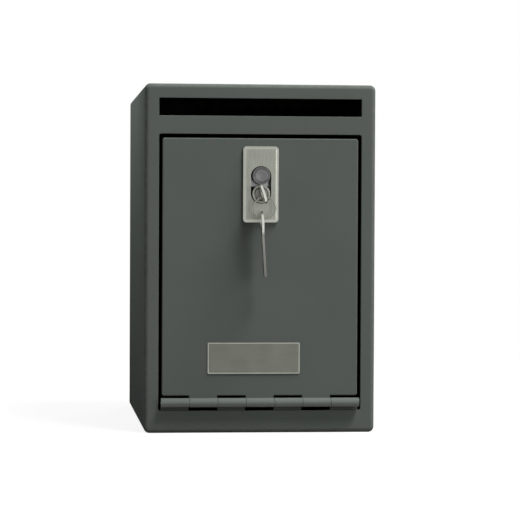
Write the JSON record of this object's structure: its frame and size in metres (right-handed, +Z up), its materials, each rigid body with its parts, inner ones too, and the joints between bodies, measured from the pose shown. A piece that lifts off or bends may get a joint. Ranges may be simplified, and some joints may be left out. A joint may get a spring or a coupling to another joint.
{
  "type": "deposit safe",
  "caption": "Small steel drop-slot deposit safe with a bottom-hinged door, a nose lock with keys on a ring, and a baffled deposit slot.",
  "frame": {"origin": "on the surface that the safe stands on, under the middle of the body's footprint", "axes": "+Z up, the front with its door and slot faces -Y, +X to the right seen from the front"},
  "size_m": [0.203, 0.288, 0.305],
  "materials": {
    "body_paint": "satin grey-green powder coat with a fine texture",
    "inner_paint": "matt black coat on what lies behind the slot and the door's gaps",
    "satin_nickel": "satin nickel",
    "dark_nickel": "darker machined nickel",
    "brushed_plate": "brushed, blank",
    "zinc": "bright zinc plate",
    "cast_case": "as-cast zinc alloy",
    "hard_steel": "ground steel",
    "brass": "stamped brass",
    "spring_steel": "blued spring steel",
    "key_steel": "bright nickel-plated key steel"
  },
  "bodies": {
    "safe_body": {"body_shell": "body_paint", "back_panel": "body_paint", "drop_chute": "inner_paint", "fishing_comb": "inner_paint", "stop_strip_left": "inner_paint", "stop_strip_right": "inner_paint", "strike_bar": "inner_paint", "hinge_body_leaf": "body_paint", "hinge_pin": "zinc"},
    "door": {"door_plate": "body_paint", "hinge_door_leaf": "body_paint", "name_plate": "brushed_plate", "lock_plate": "satin_nickel", "key_nose": "satin_nickel", "blank_nose": "dark_nickel", "blank_plug": "dark_nickel", "lock_case": "cast_case", "lock_cover": "zinc", "case_screw_1": "zinc", "case_screw_2": "zinc", "case_screw_3": "zinc", "case_screw_4": "zinc", "cover_screw_1": "zinc", "cover_screw_2": "zinc", "cover_screw_3": "zinc", "cover_screw_4": "zinc", "lever_post": "hard_steel"},
    "plug": {"key_plug": "dark_nickel"},
    "bolt": {"bolt": "hard_steel"},
    "levers": {"lever_1": "brass", "lever_2": "brass", "lever_3": "brass", "lever_4": "brass", "lever_spring_1": "spring_steel", "lever_spring_2": "spring_steel", "lever_spring_3": "spring_steel", "lever_spring_4": "spring_steel"},
    "key": {"key": "key_steel"},
    "ring": {"key_ring": "key_steel"},
    "spare_key": {"spare_key": "key_steel"}
  },
  "joints": [
    {"name": "door_swing", "type": "hinge", "parent": "safe_body", "child": "door", "pos_m": [0, -0.134, 0.027], "axis": [1, 0, 0], "range_deg": [0, 90]},
    {"name": "key_turn", "type": "hinge", "parent": "door", "child": "plug", "pos_m": [0, -0.13, 0.209], "axis": [0, -1, 0], "range_deg": [0, 90]},
    {"name": "bolt_slide", "type": "slide", "parent": "door", "child": "bolt", "axis": [0, 0, 1], "range_m": [0, 0.012]},
    {"name": "lever_drop", "type": "hinge", "parent": "door", "child": "levers", "pos_m": [-0.02, -0.113, 0.197], "axis": [0, 1, 0], "range_deg": [0, 5.2]},
    {"name": "key_pull", "type": "slide", "parent": "plug", "child": "key", "axis": [0, 1, 0], "range_m": [-0.036, 0]},
    {"name": "ring_swing", "type": "hinge", "parent": "key", "child": "ring", "pos_m": [0.0021, -0.1487, 0.19996], "axis": [0, 1, 0], "range_deg": [0, 90]},
    {"name": "spare_key_swing", "type": "hinge", "parent": "ring", "child": "spare_key", "pos_m": [-0.00081, -0.1487, 0.18732], "axis": [1, 0, 0], "range_deg": [-45, 10]}
  ],
  "couplings": [
    {"joint": "key_turn", "follows": "bolt_slide", "rad_per_m": 130.89},
    {"joint": "lever_drop", "follows": "bolt_slide", "rad_per_m": 7.56}
  ]
}
